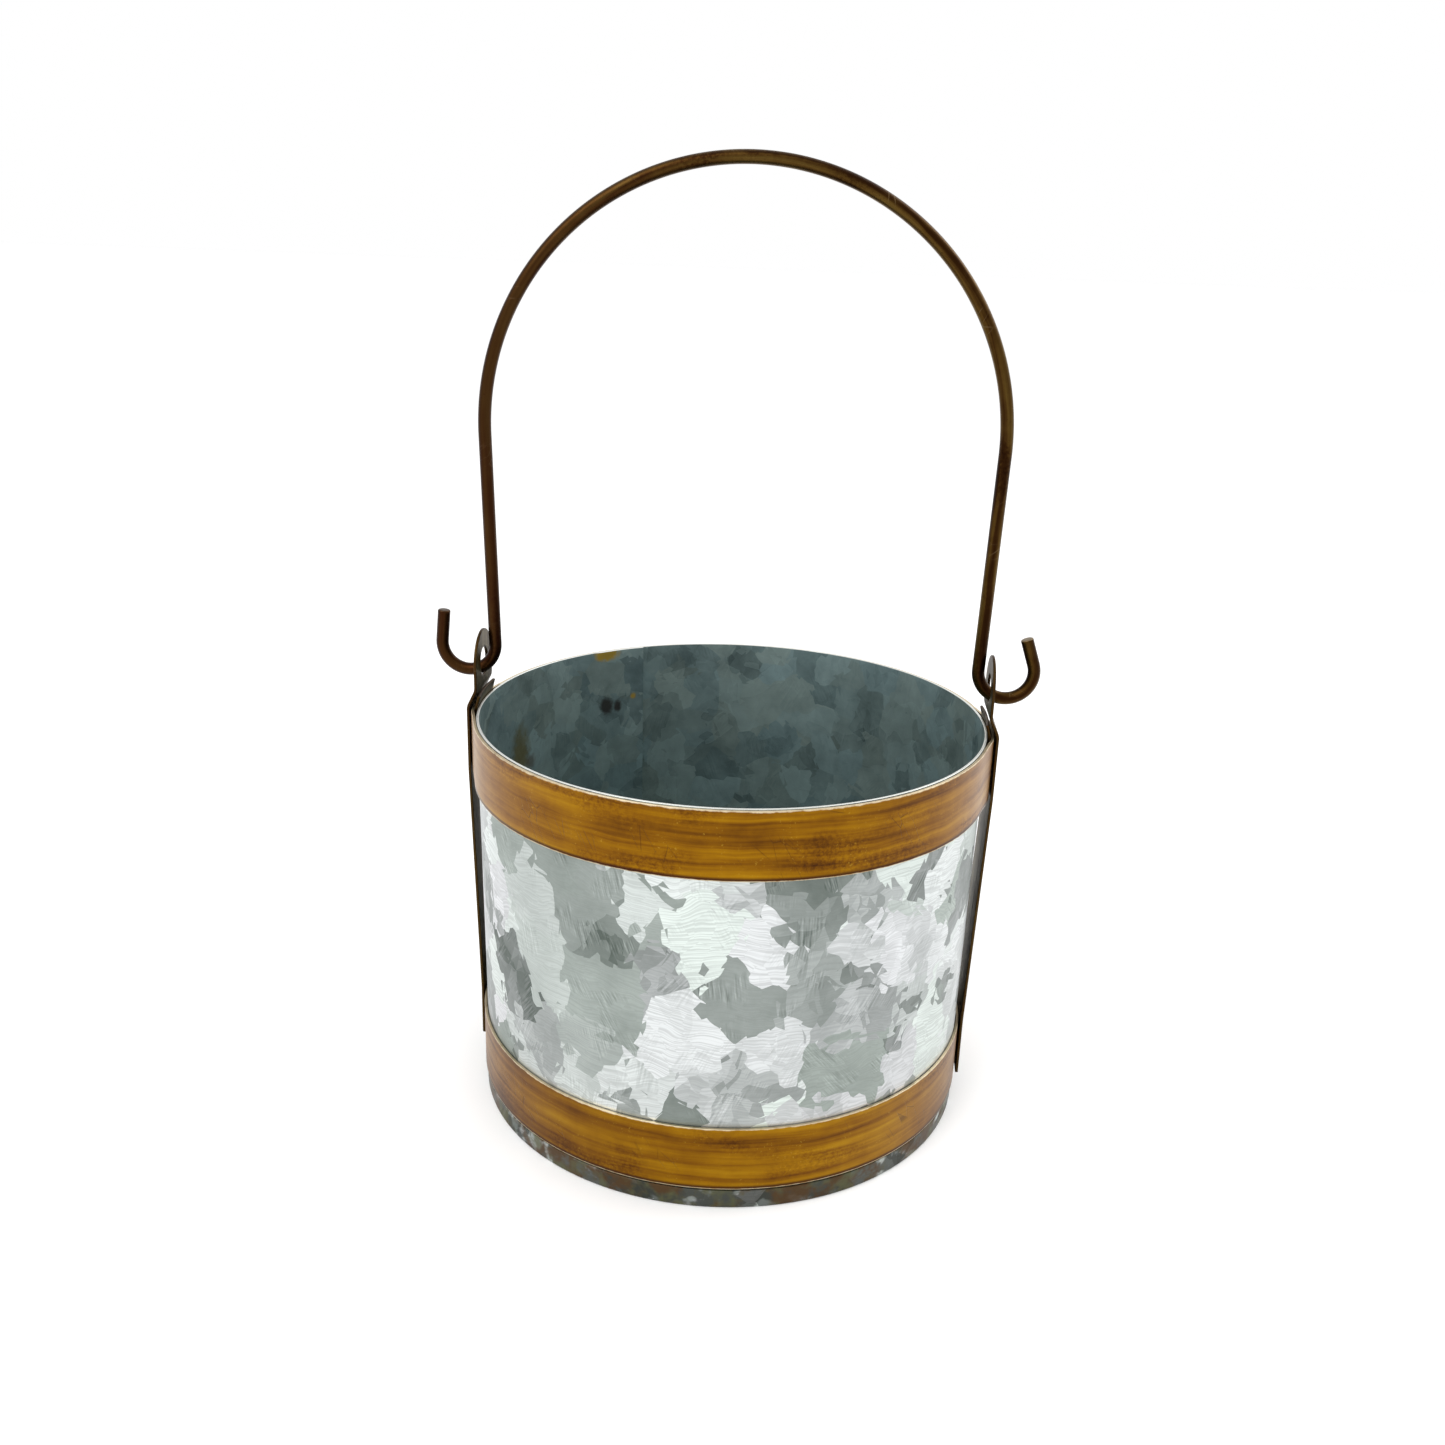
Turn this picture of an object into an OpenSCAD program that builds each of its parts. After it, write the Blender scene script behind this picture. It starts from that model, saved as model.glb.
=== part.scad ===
// Small galvanised pail in a cage of flat strip: a rolled wall and folded base, two hoops,
// two side straps that rise to round-ended ears, and a wire bail hooked through the ears.
// Millimetres. Origin at the centre of the foot, on the surface it stands on.
// X runs along the bail's pivot, the front is -Y, and +Z is up.

/* [Pail] */
// Outside radius of the wall at the rim
rim_r = 75; // [60:0.5:110]
// How much smaller the wall's radius is at the foot
taper = 1.6; // [0:0.1:6]
// Height of the wall above the surface it stands on
wall_h = 119; // [80:1:220]
// Thickness of the galvanised sheet
sheet_t = 0.7; // [0.5:0.1:1.2]
// Width of the lap where the wall's two ends overlap
lap_w = 19; // [8:1:30]
// Direction of the lap's middle, anticlockwise from +X seen from above
lap_direction = 126; // [100:1:250]

/* [Base] */
// Height of the base's folded edge, up the outside of the wall
fold_h = 5.6; // [4:0.1:6]
// Height of the underside of the floor
floor_z = 3; // [2:0.1:3.8]
// Radius of the folded edge's lower corners
fold_corner_r = 0.6; // [0.3:0.1:0.7]

/* [Strip] */
// Width of the flat strip that the hoops, straps and tabs are cut from
strip_w = 19.2; // [12:0.1:30]
// Thickness of the flat strip
strip_t = 0.8; // [0.6:0.1:1.2]
// Height of the lower hoop's bottom edge
bottom_hoop_z = 6.5; // [6.1:0.1:30]
// How far the top hoop's upper edge lies below the rim
hoop_drop = 0.2; // [0:0.1:5]

/* [Straps and tabs] */
// Height of the straps' lower ends
strap_end_z = 8; // [6.5:0.5:20]
// Slope of the cut at the straps' lower ends, in degrees
strap_cut = 7; // [0:1:15]
// How far the ears' inner faces lie inside the rim's outside radius
ear_inset = 0.3; // [0:0.1:0.5]
// Height of the ear holes' centres above the rim
ear_rise = 12; // [10:0.5:25]
// Radius of the ear holes
ear_hole_r = 4.2; // [3:0.1:6]
// Slope of the straps' inward jog above the rim, in degrees
jog_slope = 26; // [20:0.5:28]
// How far the tabs stand above the rim
tab_rise = 3.5; // [2:0.1:5]
// Slope of the tabs' tops, leaning in towards the pail, in degrees
tab_lean = 15; // [8:1:20]

/* [Bail] */
// Diameter of the wire
wire_d = 3.7; // [2.5:0.1:5]
// Length of each straight leg between the arch and its hook
leg_len = 61.4; // [40:0.1:120]
// Slope of the legs, drawing in towards the hooks, in degrees
leg_slope = 1.6; // [0:0.1:4]
// Radius of the hooks' bend, to the middle of the wire
hook_r = 8; // [6:0.1:10]
// Distance from an ear's outer face to the middle of the hook's bend
hook_offset = 3.65; // [2:0.05:5]
// Length of the left hook's straight end
left_tip_len = 9.2; // [4:0.1:14]
// Slope of the left hook's end, leaning in, in degrees
left_tip_lean = 5; // [0:1:25]
// Length of the right hook's straight end
right_tip_len = 8; // [4:0.1:14]
// Slope of the right hook's end, leaning in, in degrees
right_tip_lean = 19; // [0:1:25]

/* [Clearances] */
// Clearance between the wall and the fold round its foot
fold_gap = 0.05; // [0.02:0.01:0.2]
// Clearance between the wall and what is strapped round it
hoop_gap = 0.2; // [0.1:0.05:0.5]
// Clearance between a strap and the hoops under it
strap_gap = 0.1; // [0.05:0.05:0.3]
// Clearance between the wire and the bottom of an ear hole, with the bail upright
wire_gap = 0.15; // [0.1:0.05:0.4]

/* [Hidden] */
$fn = 96;

zinc = [0.76, 0.80, 0.79];
amber = [0.66, 0.43, 0.08];
bronze = [0.42, 0.34, 0.17];

past = 1;        // how far a cutting shape runs past what it cuts
sink = 0.1;      // how far two shapes of one solid run into each other
hair = 0.02;     // how much thinner the wire is in its straight runs, which end inside its bends
jog_bend_r = 2;  // inside radius of the straps' bends
bend_steps = 4;  // flats that stand for one bend
flank_cut = 2.5; // degrees by which the top hoop's straight flanks end short of a tangent
flank_past = 2;  // how far each flank's shape runs on inside the round it ends on

floor_top = floor_z + sheet_t;
top_hoop_z = wall_h - hoop_drop - strip_w;
ear_z = wall_h + ear_rise;

// Outside radius of the wall at a height
function wall_r(z) = rim_r - taper * (1 - z / wall_h);

// The top hoop is held off the wall at the ears by a tab, and lies on the wall at front and back
tab_r = rim_r + hoop_gap;
top_front_r = rim_r + hoop_gap;
top_side_r = tab_r + strip_t + hoop_gap;

bottom_hoop_r = wall_r(bottom_hoop_z + strip_w) + hoop_gap;

// Inner face of a strap: up the lower hoop, out to the upper one, and in again to the ear
strap_low_x = bottom_hoop_r + strip_t + strap_gap;
strap_high_x = top_side_r + strip_t + strap_gap;
ear_x = rim_r - ear_inset;
jog_z = wall_h - hoop_drop + jog_bend_r * tan(jog_slope / 2);
jog_h = (strap_high_x - ear_x) / tan(jog_slope);

// Half the angle that a tab of the strip's width takes up on the wall
tab_half = asin(strip_w / 2 / tab_r);

// The bail's width puts the middle of each hook beyond its ear, and its height lays the wire on
// the bottom of the ear holes
hook_x = ear_x + strip_t + hook_offset;
hook_z = ear_z - ear_hole_r + wire_gap + sqrt(pow(hook_r + wire_d / 2, 2) - pow(hook_offset, 2));
arch_r = (hook_x + leg_len * sin(leg_slope)) / cos(leg_slope) - hook_r;
arch_z = hook_z + (arch_r + hook_r) * sin(leg_slope) + leg_len * cos(leg_slope);

// Unit vector from one point to the next
function heading(a, b) = (b - a) / norm(b - a);
function left_of(v) = [-v[1], v[0]];

// Points along the arc that rounds the corner b, between a and c
function bend(a, b, c, r) = let (
    u = heading(a, b),
    v = heading(b, c),
    side = sign(u[0] * v[1] - u[1] * v[0]),
    turn = acos(u * v),
    start = b - u * r * tan(turn / 2),
    centre = start + left_of(u) * side * r
) [for (i = [0:bend_steps]) let (
    swing = side * turn * i / bend_steps,
    arm = start - centre
) centre + [arm[0] * cos(swing) - arm[1] * sin(swing), arm[0] * sin(swing) + arm[1] * cos(swing)]];

// Offset of the corner b to the right of its path, mitred
function mitre(a, b, c) = let (
    p = -left_of(heading(a, b)),
    q = -left_of(heading(b, c))
) b + (p + q) / (1 + p * q) * strip_t;

// The other face of a strip whose first face follows the path, on the path's right
function other_face(path) = let (n = len(path) - 1) [
    path[0] - left_of(heading(path[0], path[1])) * strip_t,
    for (i = [1:n - 1]) mitre(path[i - 1], path[i], path[i + 1]),
    path[n] - left_of(heading(path[n - 1], path[n])) * strip_t
];

function reversed(list) = [for (i = [len(list) - 1:-1:0]) list[i]];

module strip_section(path) {
    polygon(concat(path, reversed(other_face(path))));
}

module drum_wall() {
    wall_z = sheet_t + fold_gap;
    lap_z = floor_top + fold_gap;
    lap_angle = lap_w / rim_r * 180 / PI;
    color(zinc) union() {
        rotate_extrude() polygon([
            [wall_r(wall_z) - sheet_t, wall_z],
            [wall_r(wall_z), wall_z],
            [rim_r, wall_h],
            [rim_r - sheet_t, wall_h]
        ]);
        // The inner end of the sheet, lapped inside the outer one
        rotate([0, 0, lap_direction - lap_angle / 2]) rotate_extrude(angle = lap_angle) polygon([
            [wall_r(lap_z) - 2 * sheet_t, lap_z],
            [wall_r(lap_z) - sheet_t + sink, lap_z],
            [rim_r - sheet_t + sink, wall_h],
            [rim_r - 2 * sheet_t, wall_h]
        ]);
    }
}

module base_pan() {
    fold_out = wall_r(fold_h) + fold_gap + sheet_t;
    slot_out = wall_r(fold_h) + fold_gap;
    slot_in = wall_r(sheet_t) - sheet_t - fold_gap;
    fold_in = slot_in - sheet_t;
    color(zinc) rotate_extrude() difference() {
        union() {
            square([fold_in + sink, floor_top]);
            translate([fold_in + fold_corner_r, 0])
                square([fold_out - fold_in - 2 * fold_corner_r, fold_h]);
            translate([fold_in, fold_corner_r]) square([fold_out - fold_in, fold_h - fold_corner_r]);
            translate([fold_in + fold_corner_r, fold_corner_r]) circle(r = fold_corner_r);
            translate([fold_out - fold_corner_r, fold_corner_r]) circle(r = fold_corner_r);
        }
        // Under the floor, the slot that holds the wall, and above the floor inside the wall
        translate([-past, -past]) square([fold_in + past, floor_z + past]);
        translate([slot_in, sheet_t]) square([slot_out - slot_in, fold_h]);
        translate([-past, floor_top]) square([slot_in + 2 * past, fold_h]);
    }
}

// Upright round block of radius r that swells to side_r over the tabs, with straight flanks between
module swollen_block(r, side_r, z, h) {
    over_tab = tab_half + 0.5;
    flank_end = over_tab + acos(r / side_r) - flank_cut;
    near = side_r * [cos(over_tab), sin(over_tab)];
    far = r * [cos(flank_end), sin(flank_end)];
    tip = near[0] + near[1] * (near[0] - far[0]) / (far[1] - near[1]);
    inner = far + flank_past * (far - near) / norm(far - near);
    translate([0, 0, z]) {
        cylinder(r = r, h = h);
        for (turn = [0, 180]) rotate([0, 0, turn]) intersection() {
            cylinder(r = side_r, h = h);
            linear_extrude(h) polygon([[0, 0], [inner[0], -inner[1]], [tip, 0], inner]);
        }
    }
}

module top_hoop() {
    color(amber) difference() {
        swollen_block(top_front_r + strip_t, top_side_r + strip_t, top_hoop_z, strip_w);
        swollen_block(top_front_r, top_side_r, top_hoop_z - past, strip_w + 2 * past);
    }
}

module bottom_hoop() {
    color(amber) translate([0, 0, bottom_hoop_z]) difference() {
        cylinder(r = bottom_hoop_r + strip_t, h = strip_w);
        translate([0, 0, -past]) cylinder(r = bottom_hoop_r, h = strip_w + 2 * past);
    }
}

// One strap, at +X
module strap() {
    foot = [strap_low_x, strap_end_z - strip_w];
    low = [strap_low_x, bottom_hoop_z + strip_w];
    high = [strap_high_x, top_hoop_z];
    jog_start = [strap_high_x, jog_z];
    jog_end = [ear_x, jog_z + jog_h];
    top = [ear_x, ear_z + strip_w];
    path = concat(
        [foot, low, high],
        bend(high, jog_start, jog_end, jog_bend_r),
        bend(jog_start, jog_end, top, jog_bend_r),
        [top]
    );
    color(bronze) difference() {
        rotate([90, 0, 0]) linear_extrude(strip_w, center = true) strip_section(path);
        // The slanted cut at the lower end
        translate([0, 0, strap_end_z]) rotate([strap_cut, 0, 0])
            translate([0, -strip_w, -2 * strip_w]) cube([2 * rim_r, 2 * strip_w, 2 * strip_w]);
        ear_surround();
        translate([0, 0, ear_z]) rotate([0, 90, 0]) cylinder(r = ear_hole_r, h = 2 * rim_r);
    }
}

// What is cut away above the ear's centre to leave a round end
module ear_surround() {
    translate([ear_x - past, 0, ear_z]) rotate([0, 90, 0]) difference() {
        translate([-2 * strip_w, -strip_w, 0]) cube([2 * strip_w, 2 * strip_w, 2 * past + strip_t]);
        translate([0, 0, -past]) cylinder(r = strip_w / 2, h = 4 * past + strip_t);
    }
}

module left_strap() {
    rotate([0, 0, 180]) strap();
}

module right_strap() {
    strap();
}

// One tab, at +X
module tab() {
    low = [tab_r, top_hoop_z + 1.5];
    knee = [tab_r, wall_h + hoop_gap];
    top = knee + (tab_rise - hoop_gap) * [-tan(tab_lean), 1];
    color(bronze) rotate([0, 0, -tab_half]) rotate_extrude(angle = 2 * tab_half)
        strip_section([low, knee, top]);
}

module left_tab() {
    rotate([0, 0, 180]) tab();
}

module right_tab() {
    tab();
}

// One leg of the bail with the hook at its end, at +X
module leg_and_hook(tip_len, tip_lean) {
    turn = leg_slope + tip_lean;
    translate([0, 0, arch_z]) rotate([0, leg_slope, 0]) translate([arch_r, 0, -leg_len]) {
        translate([0, 0, -sink]) cylinder(d = wire_d - hair, h = leg_len + 2 * sink);
        translate([hook_r, 0, 0]) rotate([90, 0, 0]) rotate_extrude(angle = 180 + turn, start = 180)
            translate([hook_r, 0]) circle(d = wire_d);
        translate([hook_r, 0, 0]) rotate([0, -turn, 0]) translate([hook_r, 0, -sink])
            cylinder(d = wire_d - hair, h = tip_len + sink);
    }
}

module bail() {
    color(bronze) union() {
        translate([0, 0, arch_z]) rotate([90, 0, 0])
            rotate_extrude(angle = 180 + 2 * leg_slope, start = -leg_slope)
            translate([arch_r, 0]) circle(d = wire_d);
        leg_and_hook(right_tip_len, right_tip_lean);
        mirror([1, 0, 0]) leg_and_hook(left_tip_len, left_tip_lean);
    }
}

drum_wall();
base_pan();
top_hoop();
bottom_hoop();
left_strap();
right_strap();
left_tab();
right_tab();
bail();
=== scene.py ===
import math

import bmesh
import bpy
import numpy as np
from mathutils import Matrix, Vector


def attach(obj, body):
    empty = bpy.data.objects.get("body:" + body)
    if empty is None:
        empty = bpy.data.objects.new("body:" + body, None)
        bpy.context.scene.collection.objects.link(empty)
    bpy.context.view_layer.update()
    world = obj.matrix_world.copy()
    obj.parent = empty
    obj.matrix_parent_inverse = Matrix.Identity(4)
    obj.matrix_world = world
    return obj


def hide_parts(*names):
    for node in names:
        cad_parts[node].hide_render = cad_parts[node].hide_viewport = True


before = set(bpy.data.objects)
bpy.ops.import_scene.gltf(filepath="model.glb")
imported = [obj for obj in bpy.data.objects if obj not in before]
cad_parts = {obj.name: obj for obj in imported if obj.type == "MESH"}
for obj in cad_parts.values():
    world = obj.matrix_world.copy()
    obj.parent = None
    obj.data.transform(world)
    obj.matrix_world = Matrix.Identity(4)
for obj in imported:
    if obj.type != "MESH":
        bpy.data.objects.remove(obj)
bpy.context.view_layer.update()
print("frame loaded")

mm = 0.001

# Sizes the pieces share, in metres
pail = dict(
    rimR=75 * mm,
    taper=1.6 * mm,
    height=119 * mm,
    sheet=0.7 * mm,
    stripWidth=19.2 * mm,
    stripThick=0.8 * mm,
    hoopGap=0.2 * mm,
    hoopDrop=0.2 * mm,
    lowHoopZ=6.5 * mm,
    earZ=131 * mm,
    earFaceX=74.7 * mm,
    holeR=4.2 * mm,
)


def wallR(z):  # outside radius of the wall at a height: the rim's, less its share of the taper
    return pail["rimR"] - pail["taper"] * (1 - z / pail["height"])


cornerShare = 0.35  # where the middle of a broken edge lies, as a share of its width


def smoothStep(x, low, high):  # 0 up to low, 1 from high, and t * t * (3 - 2 * t) between them
    t = np.clip((x - low) / (high - low), 0, 1)
    return t * t * (3 - 2 * t)


def around(r, a, z):  # a grid of points at radius r, angle a and height z
    r, a, z = np.broadcast_arrays(r, a, z)
    return np.stack([r * np.cos(a), r * np.sin(a), z], -1)


def paired(u, v):  # two grids as one grid of pairs
    return np.stack(np.broadcast_arrays(u, v), -1)


def lengthAlong(points):  # how far along a path each of its points is
    steps = np.linalg.norm(np.diff(points, axis=0), axis=1)
    return np.concatenate([[0], np.cumsum(steps)])


def makePiece(name, patches, body, replaced, materials, smoothAngle=40):
    # Each patch is a grid: points (rows, columns, 3), UV (rows, columns, 2) and values by name.
    # The patches are laid into one mesh and welded where their borders meet.
    verts, faces, uvs, values = [], [], [], {}
    start = 0
    for patch in patches:
        points, uv = patch["points"], patch["uv"]
        rows, cols = points.shape[:2]
        index = start + np.arange(rows * cols).reshape(rows, cols)
        quads = np.stack([index[:-1, :-1], index[:-1, 1:], index[1:, 1:], index[1:, :-1]], -1)
        verts.append(points.reshape(-1, 3))
        faces.append(quads.reshape(-1, 4))
        uvs.append(uv.reshape(-1, 2))
        for key, grid in patch["values"].items():
            values.setdefault(key, []).append(np.broadcast_to(grid, (rows, cols)).reshape(-1))
        start += rows * cols
    verts, faces, uvs = np.vstack(verts), np.vstack(faces), np.vstack(uvs)
    mesh = bpy.data.meshes.new(name)
    mesh.from_pydata(verts, [], faces.tolist())
    layer = mesh.uv_layers.new(name="UVMap")
    layer.data.foreach_set("uv", uvs[faces.reshape(-1)].astype(np.float32).ravel())
    for key, parts in values.items():
        attribute = mesh.attributes.new(key, "FLOAT", "POINT")
        attribute.data.foreach_set("value", np.concatenate(parts).astype(np.float32))
    work = bmesh.new()
    work.from_mesh(mesh)
    bmesh.ops.remove_doubles(work, verts=work.verts, dist=1e-6)
    bmesh.ops.dissolve_degenerate(work, edges=work.edges, dist=1e-7)
    bmesh.ops.recalc_face_normals(work, faces=work.faces)
    work.to_mesh(mesh)
    work.free()
    mesh.polygons.foreach_set("use_smooth", np.ones(len(mesh.polygons), bool))
    mesh.set_sharp_from_angle(angle=math.radians(smoothAngle))
    piece = bpy.data.objects.new(name, mesh)
    bpy.context.scene.collection.objects.link(piece)
    for material in materials:
        mesh.materials.append(material)
    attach(piece, body)
    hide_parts(*replaced)
    return piece


def thicken(piece, thickness, bevel):
    # A strip is made as its middle surface, then given its thickness and broken edges
    solid = piece.modifiers.new("thickness", "SOLIDIFY")
    solid.thickness = thickness
    solid.offset = 0
    solid.use_even_offset = True
    solid.use_rim = True
    edge = piece.modifiers.new("brokenEdge", "BEVEL")
    edge.width = bevel
    edge.segments = 2
    edge.limit_method = "ANGLE"
    edge.angle_limit = math.radians(50)
    normals = piece.modifiers.new("flatNormals", "WEIGHTED_NORMAL")
    normals.keep_sharp = True


def acrossStrip(width):
    # Rows across a strip, close together near its two edges
    near = np.array([0, 0.1, 0.2, 0.35, 0.6, 0.9, 1.3, 2.4, 4.2]) * mm
    return np.concatenate([near, [width / 2], (width - near)[::-1]])


def roundedPath(corners, radii, step=0.25 * mm):
    # A path through corners, each rounded by its own radius, as evenly spaced points
    corners = np.asarray(corners, float)
    out = [corners[0]]
    for before, corner, after, radius in zip(corners[:-2], corners[1:-1], corners[2:], radii):
        u = (corner - before) / np.linalg.norm(corner - before)
        v = (after - corner) / np.linalg.norm(after - corner)
        turn = math.acos(np.clip(u @ v, -1, 1))
        back = radius * math.tan(turn / 2)
        t = np.linspace(0, 1, 9)[:, None]
        a, b = corner - u * back, corner + v * back
        out += list((1 - t) ** 2 * a + 2 * t * (1 - t) * corner + t ** 2 * b)
    out.append(corners[-1])
    points = np.array(out)
    length = lengthAlong(points)
    keep = np.concatenate([[True], np.diff(length) > 1e-9])
    points, length = points[keep], length[keep]
    s = np.linspace(0, length[-1], max(2, int(length[-1] / step)))
    return s, np.stack([np.interp(s, length, points[:, k]) for k in range(points.shape[1])], -1)


def put(tree, kind, ins=None, out=0, **settings):
    # Adds a node, links or sets its inputs by name or number, and gives one of its outputs
    node = tree.nodes.new(kind)
    for key, value in settings.items():
        setattr(node, key, value)
    pairs = ins.items() if isinstance(ins, dict) else enumerate(ins or [])
    for key, value in pairs:
        if value is None:
            continue
        if isinstance(value, bpy.types.NodeSocket):
            tree.links.new(value, node.inputs[key])
        else:
            node.inputs[key].default_value = value
    return node.outputs[out]


def calc(tree, operation, a, b=None, c=None, clamp=False):
    return put(tree, "ShaderNodeMath", [a, b, c], operation=operation, use_clamp=clamp)


def vector(tree, operation, a, b=None, scale=None):
    ins = {0: a, 1: b}
    if scale is not None:
        ins["Scale"] = scale
    out = 1 if operation in ("LENGTH", "DISTANCE", "DOT_PRODUCT") else 0
    return put(tree, "ShaderNodeVectorMath", ins, out, operation=operation)


def noise(tree, place, scale, detail=2.0, rough=0.5, out=0, distortion=0.0):
    return put(tree, "ShaderNodeTexNoise", {"Vector": place, "Scale": scale, "Detail": detail,
               "Roughness": rough, "Distortion": distortion}, out)


def cells(tree, place, scale, feature="F1"):
    ins = {"Vector": place, "Scale": scale}
    return put(tree, "ShaderNodeTexVoronoi", ins, feature=feature).node.outputs


def stretch(tree, place, scale=(1, 1, 1), move=(0, 0, 0)):
    return put(tree, "ShaderNodeMapping", {"Vector": place, "Location": move, "Scale": scale})


def turned(tree, place, angle):  # turned about Z, in radians
    return put(tree, "ShaderNodeVectorRotate", {"Vector": place, "Angle": angle}, rotation_type="Z_AXIS")


def times(tree, a, b, clamp=False):
    return calc(tree, "MULTIPLY", a, b, clamp=clamp)


def plus(tree, a, b, clamp=False):
    return calc(tree, "ADD", a, b, clamp=clamp)


def centred(tree, value, share):  # (value - 0.5) * share
    return times(tree, calc(tree, "SUBTRACT", value, 0.5), share)


def shake(tree, place, scale, detail, by):  # place + (a noise's three channels - 0.5) * by
    away = vector(tree, "SUBTRACT", noise(tree, place, scale, detail, 0.5, 1), (0.5, 0.5, 0.5))
    return vector(tree, "ADD", place, vector(tree, "MULTIPLY", away, by))


def surfaceUv(tree):
    return put(tree, "ShaderNodeTexCoord", out="UV")


def objectPlace(tree):
    return put(tree, "ShaderNodeTexCoord", out="Object")


def pointValue(tree, name):
    return put(tree, "ShaderNodeAttribute", out="Fac", attribute_name=name)


def between(tree, value, low, high, toLow=0.0, toHigh=1.0, smooth=True):
    return put(tree, "ShaderNodeMapRange",
               {"Value": value, "From Min": low, "From Max": high, "To Min": toLow, "To Max": toHigh},
               interpolation_type="SMOOTHSTEP" if smooth else "LINEAR")


def blend(tree, share, a, b, mode="MIX"):
    # share of 0 gives a, 1 gives b; 6 and 7 are the colour inputs and 2 is the colour output
    colors = [c if isinstance(c, bpy.types.NodeSocket) else (*c, 1) for c in (a, b)]
    ins = {0: share, 6: colors[0], 7: colors[1]}
    return put(tree, "ShaderNodeMix", ins, 2, data_type="RGBA", blend_type=mode)


def ramp(tree, value, stops, stepped=False):
    node = tree.nodes.new("ShaderNodeValToRGB")
    node.color_ramp.interpolation = "CONSTANT" if stepped else "LINEAR"
    elements = node.color_ramp.elements
    while len(elements) < len(stops):
        elements.new(0.5)
    for element, (at, color) in zip(elements, stops):
        element.position = at
        element.color = (*color, 1)
    tree.links.new(value, node.inputs[0])
    return node.outputs[0]


def channel(tree, color, which):
    return put(tree, "ShaderNodeSeparateColor", [color], which)


def newGroup(name, inputs, outputs):
    tree = bpy.data.node_groups.new(name, "ShaderNodeTree")
    for socketName, kind, default in inputs:
        item = tree.interface.new_socket(name=socketName, in_out="INPUT", socket_type="NodeSocket" + kind)
        if default is not None:
            item.default_value = default
    for socketName, kind in outputs:
        tree.interface.new_socket(name=socketName, in_out="OUTPUT", socket_type="NodeSocket" + kind)
    return tree, tree.nodes.new("NodeGroupInput").outputs, tree.nodes.new("NodeGroupOutput").inputs


def useGroup(tree, group, ins):
    return put(tree, "ShaderNodeGroup", ins, node_tree=group).node.outputs


def newMaterial(name, metallic, color, **constants):
    material = bpy.data.materials.new(name)
    material.use_nodes = True
    material.diffuse_color = (*color, 1)
    tree = material.node_tree
    shader = tree.nodes["Principled BSDF"]
    shader.inputs["Metallic"].default_value = metallic
    for key, value in constants.items():
        shader.inputs[key].default_value = value
    return material, tree, shader


def finishMaterial(tree, shader, color, rough, height, depth):
    # the bump is the height, from 0 to 1, times the depth
    tree.links.new(color, shader.inputs["Base Color"])
    tree.links.new(rough, shader.inputs["Roughness"])
    bump = put(tree, "ShaderNodeBump", {"Height": height, "Distance": depth, "Strength": 1.0})
    tree.links.new(bump, shader.inputs["Normal"])


# The zinc's crystals. Scales are per metre: 52 is a crystal every 19 mm
spangle = dict(
    crystals=52.0, jagged=0.0058, softScale=75, softShake=(0.008, 0.008, 0.008), blockScale=190,
    tones=[(0.0, 1.0), (0.17, 0.90), (0.34, 0.79), (0.48, 0.66), (0.58, 0.50), (0.68, 0.39),
           (0.80, 0.30), (0.92, 0.18)],
    islandScale=105, islandStretch=(1.0, 1.25, 0), islandFrom=0.93, islandLoss=0.62,
    wedgesPerRadian=1.4, wedgeShift=60, fannedFrom=0.45, fanShare=0.24,
    driftScale=60, driftShare=0.42,
    hatchStretch=(130, 1700, 1), hatchTurn=0.8, hatchSpread=1.6,
    hatchScale=95, hatchFrom=0.50, hatchFull=0.62, hatchShare=0.85,
    rippleStretch=(48, 2100, 1), rippleLean=0.12,
)


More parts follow.
